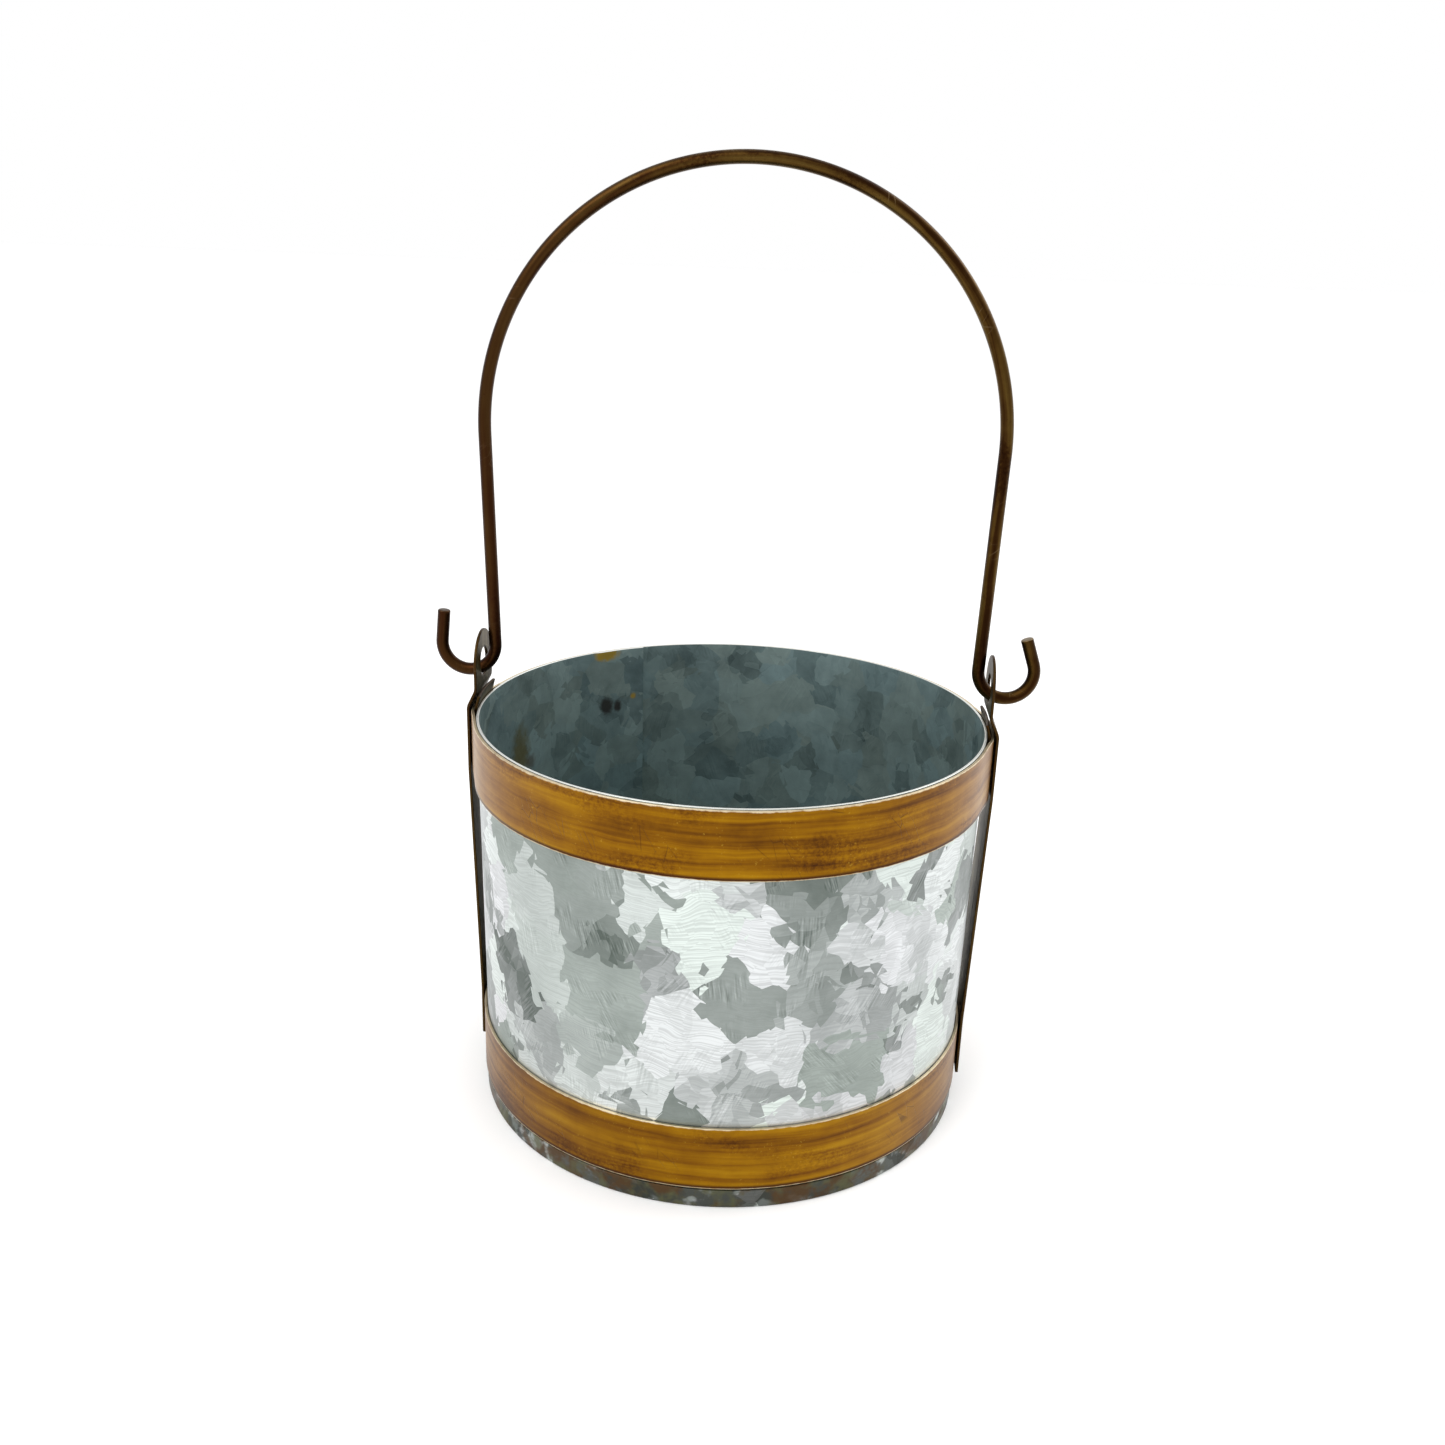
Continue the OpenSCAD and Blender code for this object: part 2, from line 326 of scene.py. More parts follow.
def makeSpangle():
    # Crystals are random cells whose place is shaken, first softly and then in small blocks, so that
    # their outlines are jagged.
    # Tone = the cell's own step of tone, less a loss on small islands
    #        + (a wedge's random number - 0.5) * fanShare, on the cells that are fanned
    #        + (broad noise - 0.5) * driftShare + (fine stretched noise - 0.5) * hatchShare where shown.
    # Ripple = noise stretched along a line that is nearly level, at each cell's own small lean.
    tree, given, result = newGroup(
        "spangle",
        [("Vector", "Vector", None), ("Crystals", "Float", spangle["crystals"]),
         ("Jagged", "Float", spangle["jagged"])],
        [("Tone", "Float"), ("Ripple", "Float"), ("Tint", "Float")],
    )
    place = given["Vector"]
    blocks = cells(tree, place, spangle["blockScale"])["Color"]
    blocks = vector(tree, "SUBTRACT", blocks, (0.5, 0.5, 0.5))
    shaken = shake(tree, place, spangle["softScale"], 1.5, spangle["softShake"])
    shaken = vector(tree, "ADD", shaken, vector(tree, "SCALE", blocks, scale=given["Jagged"]))
    crystal = cells(tree, vector(tree, "MULTIPLY", shaken, (1, 1, 0)), given["Crystals"])
    first, second, third = (channel(tree, crystal["Color"], k) for k in range(3))
    steps = [(at, (tone, tone, tone)) for at, tone in spangle["tones"]]
    tone = channel(tree, ramp(tree, first, steps, True), 0)
    # small dark islands inside the large crystals
    islandPlace = vector(tree, "MULTIPLY", shaken, spangle["islandStretch"])
    islands = cells(tree, islandPlace, spangle["islandScale"])["Color"]
    island = calc(tree, "GREATER_THAN", channel(tree, islands, 1), spangle["islandFrom"])
    tone = times(tree, tone, calc(tree, "SUBTRACT", 1.0, times(tree, island, spangle["islandLoss"])))
    # fans: wedges round the crystal's middle, each a little lighter or darker
    middle = vector(tree, "MULTIPLY", crystal["Position"], (1, 1, 0))
    local = vector(tree, "SUBTRACT", shaken, middle)
    localX, localY = (put(tree, "ShaderNodeSeparateXYZ", [local], k) for k in (0, 1))
    angle = calc(tree, "ARCTAN2", localY, localX)
    shift = times(tree, third, spangle["wedgeShift"])
    wedge = calc(tree, "MULTIPLY_ADD", angle, spangle["wedgesPerRadian"], shift)
    floored = {"W": calc(tree, "FLOOR", wedge)}
    pick = put(tree, "ShaderNodeTexWhiteNoise", floored, noise_dimensions="1D")
    fanned = calc(tree, "GREATER_THAN", second, spangle["fannedFrom"])
    tone = plus(tree, tone, times(tree, centred(tree, pick, fanned), spangle["fanShare"]))
    # broad cloudy drift
    drift = noise(tree, place, spangle["driftScale"], 5, 0.62)
    tone = plus(tree, tone, centred(tree, drift, spangle["driftShare"]))
    # a fine hatch, steeper than the ripples and at its own angle, that shows in some places only
    hatchAngle = calc(tree, "MULTIPLY_ADD", second, spangle["hatchSpread"], spangle["hatchTurn"])
    leaning = turned(tree, place, hatchAngle)
    hatch = noise(tree, stretch(tree, leaning, spangle["hatchStretch"]), 1.0, 2, 0.6)
    shown = noise(tree, place, spangle["hatchScale"], 2)
    shown = between(tree, shown, spangle["hatchFrom"], spangle["hatchFull"])
    tone = plus(tree, tone, times(tree, centred(tree, hatch, shown), spangle["hatchShare"]))
    # ripples, mostly level
    lean = spangle["rippleLean"]
    nearlyLevel = turned(tree, shaken, calc(tree, "MULTIPLY_ADD", third, 2 * lean, -lean))
    ripple = noise(tree, stretch(tree, nearlyLevel, spangle["rippleStretch"]), 1.0, 1.2, 0.5)
    tree.links.new(calc(tree, "MAXIMUM", tone, 0.0), result["Tone"])
    tree.links.new(ripple, result["Ripple"])
    tree.links.new(second, result["Tint"])
    return tree


def makeSpot():
    # A ragged round mark: 1 where (distance from its centre over its radius + noise - 0.5) is below
    # 1 - softness, easing to 0 at 1 + softness
    tree, given, result = newGroup(
        "spot",
        [("Vector", "Vector", None), ("Centre", "Vector", (0, 0, 0)), ("Stretch", "Vector", (1, 1, 1)),
         ("Radius", "Float", 2 * mm), ("Soft", "Float", 0.3)],
        [("Mask", "Float")],
    )
    away = vector(tree, "SUBTRACT", given["Vector"], given["Centre"])
    away = vector(tree, "LENGTH", vector(tree, "MULTIPLY", away, given["Stretch"]))
    share = calc(tree, "DIVIDE", away, given["Radius"])
    share = plus(tree, share, centred(tree, noise(tree, given["Vector"], 520, 3), 1.0))
    low = calc(tree, "SUBTRACT", 1.0, given["Soft"])
    high = plus(tree, 1.0, given["Soft"])
    tree.links.new(between(tree, share, low, high, 1.0, 0.0), result["Mask"])
    return tree


spangleGroup = makeSpangle()
spotGroup = makeSpot()


def onWall(degrees, z):  # a point on the inside of the wall, z in mm
    r, a = 74 * mm, math.radians(degrees)
    return (r * math.cos(a), r * math.sin(a), z * mm)


zincLook = dict(
    metallic=0.8,
    bright=(0.60, 0.665, 0.625),
    brightViolet=(0.625, 0.635, 0.65),
    dark=(0.085, 0.105, 0.092),
    lineRange=(0.36, 0.62),
    lineTone=(0.79, 1.04),
    linedShare=0.9,
    # the inside's colours are painted shade: darker and bluer than the outside's, standing in for the
    # shade and reflections inside the pail
    shadedInsideBright=(0.42, 0.52, 0.49),
    shadedInsideDark=(0.055, 0.083, 0.080),
    shadedInsideBlue=(0.80, 0.98, 1.16),
    insideMove=(0.31, 0.17, 0),
    insideCrystals=92.0,
    insideJagged=0.003,
    insideLarge=0.34,
    insideSmall=0.36,
    insideDrift=0.5,
    insideBase=0.08,
    rust=(0.42, 0.27, 0.03),
    burn=(0.035, 0.033, 0.03),
    oliveStain=(0.16, 0.13, 0.035),
    brownStain=(0.10, 0.065, 0.03),
    footDark=(0.026, 0.028, 0.021),
    footRust=(0.080, 0.040, 0.012),
    footGreen=(0.095, 0.096, 0.045),
    footGrime=(0.88, 0.25),
    footPatches=0.85,
    cutEdge=(0.66, 0.67, 0.64),
    rough=(0.50, 0.36),
    gritRough=0.10,
    rippleBump=0.6,
    gritBump=0.25,
    bump=0.03 * mm,
)

# Marks inside the wall: centre, radius in mm, softness, stretch, colour, strength.
# Two burns at the lap's top weld and one at each lower weld, rust beside it and on the rim, two stains
wallMarks = [
    (onWall(129.8, 99.9), 2.5, 0.35, (1, 1, 0.8), "burn", 0.95),
    (onWall(126.2, 99.2), 1.5, 0.35, (1, 1, 0.7), "burn", 0.95),
    (onWall(129.0, 58), 2.0, 0.4, (1, 1, 1), "burn", 0.8),
    (onWall(129.0, 20), 2.0, 0.4, (1, 1, 1), "burn", 0.8),
    (onWall(121.8, 102), 1.1, 0.4, (1, 1, 1), "rust", 0.9),
    (onWall(129.5, 118.2), 4.6, 0.3, (1, 1, 1.9), "rust", 0.95),
    (onWall(160.6, 93), 4.5, 0.5, (1, 1, 0.55), "oliveStain", 0.75),
    (onWall(156.4, 88), 2.4, 0.5, (1, 1, 1), "brownStain", 0.6),
]


def outerZinc(tree, crystal):
    # Dark to bright by the crystal's tone, then times a line tone from the ripples, which shows
    # where the tone is bright
    tinted = blend(tree, crystal["Tint"], zincLook["bright"], zincLook["brightViolet"])
    plain = blend(tree, crystal["Tone"], zincLook["dark"], tinted)
    lines = between(tree, crystal["Ripple"], *zincLook["lineRange"], *zincLook["lineTone"])
    gray = put(tree, "ShaderNodeCombineColor", [lines] * 3)
    lined = blend(tree, 1.0, plain, gray, "MULTIPLY")
    return blend(tree, times(tree, crystal["Tone"], zincLook["linedShare"], clamp=True), plain, lined)


def shadedInnerZinc(tree, uv, tone):
    # Painted shade: the inside is painted darker and bluer than the outside, standing in for the shade
    # and reflections inside the pail. share = the outer crystals' tone and smaller crystals' tone, each
    # times its part, + (cloudy noise - 0.5) * drift + base
    small = useGroup(tree, spangleGroup, {
        "Vector": vector(tree, "ADD", uv, zincLook["insideMove"]),
        "Crystals": zincLook["insideCrystals"], "Jagged": zincLook["insideJagged"]})
    smallPart = times(tree, small["Tone"], zincLook["insideSmall"])
    share = calc(tree, "MULTIPLY_ADD", tone, zincLook["insideLarge"], smallPart)
    share = plus(tree, share, centred(tree, noise(tree, uv, 120, 4, 0.6), zincLook["insideDrift"]))
    share = plus(tree, share, zincLook["insideBase"], clamp=True)
    plain = blend(tree, share, zincLook["shadedInsideDark"], zincLook["shadedInsideBright"])
    blue = blend(tree, 1.0, plain, zincLook["shadedInsideBlue"], "MULTIPLY")
    return blend(tree, times(tree, small["Tint"], 0.5), plain, blue)


def makeZinc():
    # Colour = outer zinc, or inner zinc with its painted shade, by the inside value, then each mark over
    # it, then the foot's grime and patches, then the bright cut edge, each by its own mask
    material, tree, shader = newMaterial("galvanisedSheet", zincLook["metallic"], zincLook["bright"])
    uv, place = surfaceUv(tree), objectPlace(tree)
    inside, foot = pointValue(tree, "inside"), pointValue(tree, "foot")
    crystal = useGroup(tree, spangleGroup, {"Vector": uv})
    # outer zinc, or the inside's painted shade where the inside value is 1
    color = blend(tree, inside, outerZinc(tree, crystal), shadedInnerZinc(tree, uv, crystal["Tone"]))
    for centre, radius, soft, shape, paint, strength in wallMarks:
        mask = useGroup(tree, spotGroup, {"Vector": place, "Centre": centre, "Stretch": shape,
                                          "Radius": radius * mm, "Soft": soft})["Mask"]
        color = blend(tree, times(tree, times(tree, mask, strength), inside), color, zincLook[paint])
    # the foot: darkened all over but for a few bare spots, then patches of rust and green bloom
    grime = between(tree, noise(tree, place, 150, 3), 0.54, 0.64, *zincLook["footGrime"])
    color = blend(tree, times(tree, foot, grime), color, zincLook["footDark"])
    patches = times(tree, between(tree, noise(tree, place, 85, 4, 0.65), 0.42, 0.56), foot)
    greenShare = between(tree, noise(tree, place, 140, 3), 0.42, 0.6)
    bloom = blend(tree, greenShare, zincLook["footRust"], zincLook["footGreen"])
    color = blend(tree, times(tree, patches, zincLook["footPatches"]), color, bloom)
    color = blend(tree, pointValue(tree, "cutEdge"), color, zincLook["cutEdge"])
    # roughness falls with the tone and rises with a fine grit; the bump is ripple and grit
    grit = noise(tree, place, 2600, 2)
    rough = between(tree, crystal["Tone"], 0.0, 1.0, *zincLook["rough"], False)
    rough = plus(tree, rough, times(tree, grit, zincLook["gritRough"]))
    height = times(tree, crystal["Ripple"], zincLook["rippleBump"])
    height = plus(tree, height, times(tree, grit, zincLook["gritBump"]))
    finishMaterial(tree, shader, color, rough, height, zincLook["bump"])
    return material


# What the hoops', straps' and wire's lacquers share. A stretch is per metre, along and across
lacquer = dict(
    wanderScale=45, wander=(0.0, 0.0022, 0),
    fine=(20, 620, 1), fineShare=0.30,
    wide=(9, 190, 1), wideShare=0.46,
    cloudScale=55, cloudShare=0.24,
    blotch=(28, 60, 1), blotchMove=(3, 5, 0), grainScale=900, grainLoss=(0.02, 0.09),
    scratch=(70, 320, 1), scratchTurn=1.05, scratchWide=0.022, scratchPlaces=70,
    speckleScale=1500, specklePlaces=110,
    wearScale=380, wearRagged=0.9,
    gritScale=3200, gritRough=0.08, gritBump=0.12,
    scratchShare=0.55, scratchBump=-0.7, speckleShare=0.55, shadeLineAndRedTintShare=0.9,
    streakRange=(0.35, 0.65), roughUp=0.06, roughDown=0.04,
    coatRough=0.2, bump=0.05 * mm,
)


def makeLacquer():
    # Streak = fine, wide and cloudy noise, each times its share, the first two stretched along the
    #          strip and wandering, less a grain on the blotches, where a broad noise is high.
    # Scratch = the thin borders of stretched and turned cells, where another noise is high.
    # Speckle = the peaks of a very fine noise, where another noise is high.
    # Worn = 1 at an edge, falling to 0 at the wear's distance, made ragged by noise.
    tree, given, result = newGroup(
        "lacquer",
        [("Along", "Vector", None), ("Place", "Vector", None), ("Edge", "Float", 1.0),
         ("Wear", "Float", 0.4)],
        [("Streak", "Float"), ("Scratch", "Float"), ("Speckle", "Float"), ("Worn", "Float"),
         ("Grit", "Float")],
    )
    along, place = given["Along"], given["Place"]
    wavy = shake(tree, along, lacquer["wanderScale"], 2, lacquer["wander"])
    fine = noise(tree, stretch(tree, wavy, lacquer["fine"]), 1.0, 4, 0.6)
    wide = noise(tree, stretch(tree, wavy, lacquer["wide"]), 1.0, 3, 0.55, distortion=0.5)
    clouds = noise(tree, along, lacquer["cloudScale"], 4, 0.65)
    streak = plus(tree, times(tree, fine, lacquer["fineShare"]), times(tree, wide, lacquer["wideShare"]))
    streak = plus(tree, streak, times(tree, clouds, lacquer["cloudShare"]))
    blotch = noise(tree, stretch(tree, along, lacquer["blotch"], lacquer["blotchMove"]), 1.0, 2)
    grain = noise(tree, along, lacquer["grainScale"], 3, 0.7)
    grain = between(tree, grain, 0.40, 0.62, *lacquer["grainLoss"])
    loss = times(tree, between(tree, blotch, 0.50, 0.66), grain)
    streak = calc(tree, "SUBTRACT", streak, loss)
    slanted = stretch(tree, turned(tree, along, lacquer["scratchTurn"]), lacquer["scratch"])
    border = cells(tree, slanted, 1.0, "DISTANCE_TO_EDGE")["Distance"]
    scratch = times(tree, between(tree, border, 0.0, lacquer["scratchWide"], 1.0, 0.0),
                    between(tree, noise(tree, along, lacquer["scratchPlaces"], 1), 0.56, 0.66))
    dots = noise(tree, place, lacquer["speckleScale"], 1.5, 0.6)
    speckle = times(tree, between(tree, dots, 0.64, 0.72),
                    between(tree, noise(tree, along, lacquer["specklePlaces"], 2), 0.45, 0.6))
    ragged = centred(tree, noise(tree, place, lacquer["wearScale"], 3, 0.6), lacquer["wearRagged"])
    ragged = plus(tree, given["Edge"], ragged)
    tree.links.new(streak, result["Streak"])
    tree.links.new(scratch, result["Scratch"])
    tree.links.new(speckle, result["Speckle"])
    tree.links.new(between(tree, ragged, given["Wear"], 0.0), result["Worn"])
    tree.links.new(noise(tree, place, lacquer["gritScale"], 2), result["Grit"])
    return tree


lacquerGroup = makeLacquer()


def makeLacquered(name, look):
    # Colour = the look's tones by streak, then scratch, speckle, wear and a last layer over them, each
    # by its own mask; the last layer is a painted shade line just above a hoop's lower edge, and on the
    # wire a redder tint. Roughness falls as the streak rises. The bump is streak, grit and scratches.
    material, tree, shader = newMaterial(
        name, look["metallic"], look["tones"][2][1],
        **{"Coat Weight": look["coat"], "Coat Roughness": lacquer["coatRough"],
           "Specular IOR Level": look["specular"]},
    )
    parts = useGroup(tree, lacquerGroup, {"Along": surfaceUv(tree), "Place": objectPlace(tree),
                                          "Edge": pointValue(tree, "edge"), "Wear": look["wear"]})
    color = ramp(tree, parts["Streak"], look["tones"])
    layers = [(parts["Scratch"], lacquer["scratchShare"], look["scratch"]),
              (parts["Speckle"], lacquer["speckleShare"], look["speckle"]),
              (parts["Worn"], look["wornShare"], look["worn"]),
              # the last layer: a painted shade line just above a hoop's lower edge; on the wire, its
              # redder part
              (pointValue(tree, "shadeLineAndRedTint"), lacquer["shadeLineAndRedTintShare"], look["shadeLineAndRedTint"])]
    for mask, share, paint in layers:
        color = blend(tree, times(tree, mask, share), color, paint)
    rough = between(tree, parts["Streak"], *lacquer["streakRange"], look["rough"] + lacquer["roughUp"],
                    look["rough"] - lacquer["roughDown"], False)
    rough = plus(tree, rough, times(tree, parts["Grit"], lacquer["gritRough"]))
    height = plus(tree, parts["Streak"], times(tree, parts["Scratch"], lacquer["scratchBump"]))
    height = plus(tree, height, times(tree, parts["Grit"], lacquer["gritBump"]))
    finishMaterial(tree, shader, color, rough, height, lacquer["bump"])
    return material


hoopLook = dict(
    metallic=1.0, coat=0.10, specular=0.2, rough=0.34, wear=0.45, wornShare=0.9,
    tones=[
        (0.30, (0.048, 0.013, 0.0003)),
        (0.40, (0.110, 0.038, 0.0003)),
        (0.47, (0.185, 0.072, 0.0003)),
        (0.55, (0.26, 0.116, 0.0004)),
        (0.66, (0.36, 0.185, 0.003)),
    ],
    scratch=(0.05, 0.016, 0.002), speckle=(0.36, 0.21, 0.02),
    # the last colour is the painted shade line just above the hoop's lower edge
    worn=(0.66, 0.56, 0.38), shadeLineAndRedTint=(0.030, 0.006, 0.002),
)
strapLook = dict(
    metallic=1.0, coat=0.0, specular=0.2, rough=0.38, wear=0.55, wornShare=0.85,
    tones=[
        (0.30, (0.018, 0.007, 0.0014)),
        (0.42, (0.042, 0.022, 0.004)),
        (0.50, (0.076, 0.050, 0.010)),
        (0.58, (0.11, 0.080, 0.019)),
        (0.70, (0.16, 0.125, 0.038)),
    ],
    scratch=(0.24, 0.20, 0.10), speckle=(0.03, 0.014, 0.005),
    worn=(0.040, 0.020, 0.007), shadeLineAndRedTint=(0.04, 0.012, 0.004),
)
bailLook = dict(
    metallic=1.0, coat=0.0, specular=0.2, rough=0.34, wear=0.3, wornShare=0.6,
    tones=[
        (0.32, (0.010, 0.003, 0.0012)),
        (0.43, (0.026, 0.010, 0.0026)),
        (0.50, (0.062, 0.032, 0.007)),
        (0.58, (0.098, 0.060, 0.014)),
        (0.70, (0.13, 0.086, 0.022)),
    ],
    scratch=(0.20, 0.14, 0.07), speckle=(0.014, 0.005, 0.002),
    worn=(0.26, 0.20, 0.12), shadeLineAndRedTint=(0.024, 0.006, 0.003),
)

zincSkin = makeZinc()
hoopSkin = makeLacquered("amberLacquer", hoopLook)
strapSkin = makeLacquered("bronzeLacquer", strapLook)
bailSkin = makeLacquered("wireLacquer", bailLook)
print("materials made")

wall = dict(
    columns=400,
    rows=48,
    foot=0.8 * mm,
    lapStart=118.75,            # angles are in degrees
    lapEnd=133.25,
    lapSharp=0.02,
    joggle=1.6,                 # over which the inner layer eases back to the wall
    dent=0.10 * mm,
    dentStart=(27 * mm, 45 * mm),
    dentEnd=(82 * mm, 97 * mm),
    groove=0.22 * mm,
    grooveWide=0.16,
    edgeBevel=0.12 * mm,
    innerUv=(1.3, 0.7),         # keeps the inside's pattern apart from the outside's
)


def wallDent(a, z):
    # Shallow unevenness of a rolled sheet: -dent * window * (1 + three waves / 2.2) / 2, where the
    # waves are sines of the angle and the height, and the window is 0 near the hoops
    window = smoothStep(z, *wall["dentStart"]) * (1 - smoothStep(z, *wall["dentEnd"]))
    waves = np.sin(3 * a + 0.6 + 18 * z) + 0.7 * np.sin(7 * a + 2.1 - 30 * z)
    waves = waves + 0.5 * np.sin(11 * a - 1.0 + 55 * z)
    return -wall["dent"] * window * (1 + waves / 2.2) / 2


def lapStep(a):
    # 1 over the lap: a step up at the sharp end times a step down over the eased joggle
    d = np.degrees(a) % 360
    sharpEnd = smoothStep(d, wall["lapStart"] - wall["lapSharp"], wall["lapStart"] + wall["lapSharp"])
    return sharpEnd * (1 - smoothStep(d, wall["lapEnd"] - wall["joggle"], wall["lapEnd"]))


def seamGroove(a):
    # The outer layer's cut end: depth * e to the power of -(angle from the end / width) squared
    d = (np.degrees(a) - wall["lapEnd"] + 180) % 360 - 180
    return wall["groove"] * np.exp(-(d / wall["grooveWide"]) ** 2)


def makeWall():
    sheet, top, bevel, foot = pail["sheet"], pail["height"], wall["edgeBevel"], wall["foot"]
    seam, start = math.radians(wall["lapEnd"]), math.radians(wall["lapStart"])
    even = np.linspace(0, 2 * math.pi, wall["columns"] + 1)

    def columnsFrom(first, near):
        # even angles from the first one, with a few more close to it, in degrees
        extra = np.radians(near + [360 - degrees for degrees in near])
        return np.unique(np.concatenate([even, extra])) + first

    def patch(r, a, z, uv, inside=0.0, cutEdge=0.0):
        return dict(points=around(r, a, z), uv=uv, values=dict(inside=inside, cutEdge=cutEdge, foot=0.0))

    outA = columnsFrom(seam, [0.08, 0.16, 0.3])
    inA = columnsFrom(start, [0.01, 0.03, 0.06])
    z = np.linspace(foot, top - bevel, wall["rows"])[:, None]
    outR = wallR(z) + wallDent(outA, z) - seamGroove(outA)
    inR = wallR(z) - sheet * (1 + lapStep(inA)) + wallDent(inA, z)
    # rim: from the outer face over the flat cut edge to the inner face, on both faces' columns
    turn = 2 * math.pi
    rimA = np.unique(np.concatenate([(outA - seam) % turn, (inA - seam) % turn, [0, turn]])) + seam
    rimOut = pail["rimR"] - seamGroove(rimA)
    rimIn = pail["rimR"] - sheet * (1 + lapStep(rimA))
    soft = cornerShare * bevel
    rimR = np.stack([rimOut, rimOut - soft, rimOut - bevel, rimIn + bevel, rimIn + soft, rimIn])
    rimZ = np.array([top - bevel, top - soft, top, top, top - soft, top - bevel])[:, None]
    cutShare = np.array([0.3, 1, 1, 1, 1, 0.3])[:, None]
    # foot: a plain ring that closes the sheet, inside the fold
    footR = np.stack([wallR(foot) - sheet * (1 + lapStep(rimA)), wallR(foot) - seamGroove(rimA)])
    outAlong, inAlong, rimAlong = ((outA - seam) * pail["rimR"], (inA - start) * pail["rimR"],
                                   (rimA - seam) * pail["rimR"])
    moveU, moveV = wall["innerUv"]
    patches = [
        patch(outR, outA, z, paired(outAlong, z)),
        # the inner face is given the inside's painted shade
        patch(inR, inA, z, paired(inAlong + moveU, z + moveV), inside=1.0),
        patch(rimR, rimA, rimZ, paired(rimAlong, rimZ), cutEdge=cutShare),
        patch(footR, rimA, foot, paired(rimAlong, 0 * footR)),
    ]
    makePiece("drumWall", patches, "bucket", ["drum_wall"], [zincSkin])


makeWall()

base = dict(
    columns=256,
    floorUnder=3.0 * mm,
    foldTop=5.6 * mm,
    corner=0.6 * mm,            # the fold's bends at the ground
    shoulder=0.8 * mm,          # the bend from the fold's inner side to the underside
    gap=0.05 * mm,
    crown=0.10 * mm,
    flat=2.5 * mm,              # how far short of the slot the floor's rings stop
    lip=1.2 * mm,
    uneven=0.06 * mm,
    floorUv=2.2,
    foldUv=3.1,
)


def arc(cx, cz, r, fromDeg, toDeg, steps=7):
    t = np.radians(np.linspace(fromDeg, toDeg, steps))
    return np.stack([cx + r * np.cos(t), cz + r * np.sin(t)], -1)


def makeBase():
    # Half a section, from the middle of the floor's upper face over the lip, down and up the slot
    # that holds the wall, over the fold and back along the underside, is turned round the axis
    sheet, gap, c, shoulder = pail["sheet"], base["gap"], base["corner"], base["shoulder"]
    top, floorUnder = base["foldTop"], base["floorUnder"]
    floorTop = floorUnder + sheet
    slotOut = wallR(top) + gap
    foldOut = slotOut + sheet
    slotIn = wallR(sheet) - sheet - gap
    foldIn = slotIn - sheet

    def floorFace(r, z):
        # lowest in the middle: z - crown * (1 + cos(pi * r / the slot's radius))
        return paired(r, z - base["crown"] * (1 + np.cos(r / slotIn * math.pi)))

    above = floorFace(np.linspace(0, slotIn - base["flat"], 30), floorTop)
    under = floorFace(np.linspace(foldIn - base["flat"], 0, 24), floorUnder)
    lip = np.array([
        [slotIn - base["lip"], floorTop - 0.02 * mm], [slotIn - 0.25 * mm, floorTop],
        [slotIn, floorTop - 0.2 * mm], [slotIn, sheet], [slotOut, sheet], [slotOut, top - 0.25 * mm]])
    rolled = arc(slotOut + sheet / 2, top - sheet / 2, sheet / 2, 180, 0, 9)
    outer = np.concatenate([[[foldOut, top * 0.55]], arc(foldOut - c, c, c, 0, -90),
                            arc(foldIn + c, c, c, -90, -180)])
    bendZ = floorUnder - shoulder
    inward = np.concatenate([[[foldIn, bendZ]], arc(foldIn - shoulder, bendZ, shoulder, 0, 90)])
    profile = np.concatenate([above, lip, rolled, outer, inward, under])
    r, z = profile[:, 0][:, None], profile[:, 1][:, None]
    a = np.linspace(0, 2 * math.pi, base["columns"] + 1)[None, :]
    along = lengthAlong(profile)[:, None]
    # the fold's outside is uneven: r - uneven * (1 + sin(9 a + 1) * sin(23 a))
    isOuter = (r > slotOut + 0.1 * mm) & (z > 0.9 * mm)
    points = around(r - isOuter * base["uneven"] * (1 + np.sin(9 * a + 1) * np.sin(23 * a)), a, z)
    # the flat faces take their pattern straight from x and y, the fold from its own length
    isFlat = (r < slotIn - 1.0 * mm)[..., None]
    foldUv = paired(a * pail["rimR"] + base["foldUv"], along)
    uv = np.where(isFlat, points[..., :2] + base["floorUv"], foldUv)
    # the floor's upper face is given the inside's painted shade
    isInside = (np.arange(len(profile)) < len(above) + 2).astype(float)[:, None]
    isFoot = (r > slotIn - base["lip"]) * (1 - isInside)
    patch = dict(points=points, uv=uv, values=dict(inside=isInside, cutEdge=0.0, foot=isFoot))
    makePiece("basePan", [patch], "bucket", ["base_pan"], [zincSkin])


makeBase()
print("wall and base made")

hoop = dict(columns=360, bevel=0.16 * mm, ripple=0.03 * mm)


def makeHoop(name, node, radiusOf, z0, seed):
    # The radius is a function of the angle, and the strip stands upright on z0. Its edges wave:
    # ripple * (-1 at the lower edge to 1 at the upper) * (two sines of the angle - 0.8)
    width = pail["stripWidth"]
    rows = acrossStrip(width)[:, None]
    a = np.linspace(0, 2 * math.pi, hoop["columns"] + 1)[None, :]
    phase = seed * 1.7
    wave = 0.5 * np.sin(5 * a + phase) + 0.3 * np.sin(13 * a + 2 * phase) - 0.8
    z = z0 + rows + hoop["ripple"] * (rows / width * 2 - 1) * wave
    points = around(radiusOf(a) + pail["stripThick"] / 2, a, z)
    uv = paired(lengthAlong(points[0]) + seed, rows + seed * 0.37)
    edge = np.minimum(rows, width - rows) / mm
    # a painted shade line, from 0.1 to 1.3 mm above the hoop's lower edge
    low = smoothStep(rows, 0.10 * mm, 0.35 * mm) * (1 - smoothStep(rows, 0.6 * mm, 1.3 * mm))
    patch = dict(points=points, uv=uv, values=dict(edge=edge, shadeLineAndRedTint=low))
    piece = makePiece(name, [patch], "bucket", [node], [hoopSkin])
    thicken(piece, pail["stripThick"], hoop["bevel"])


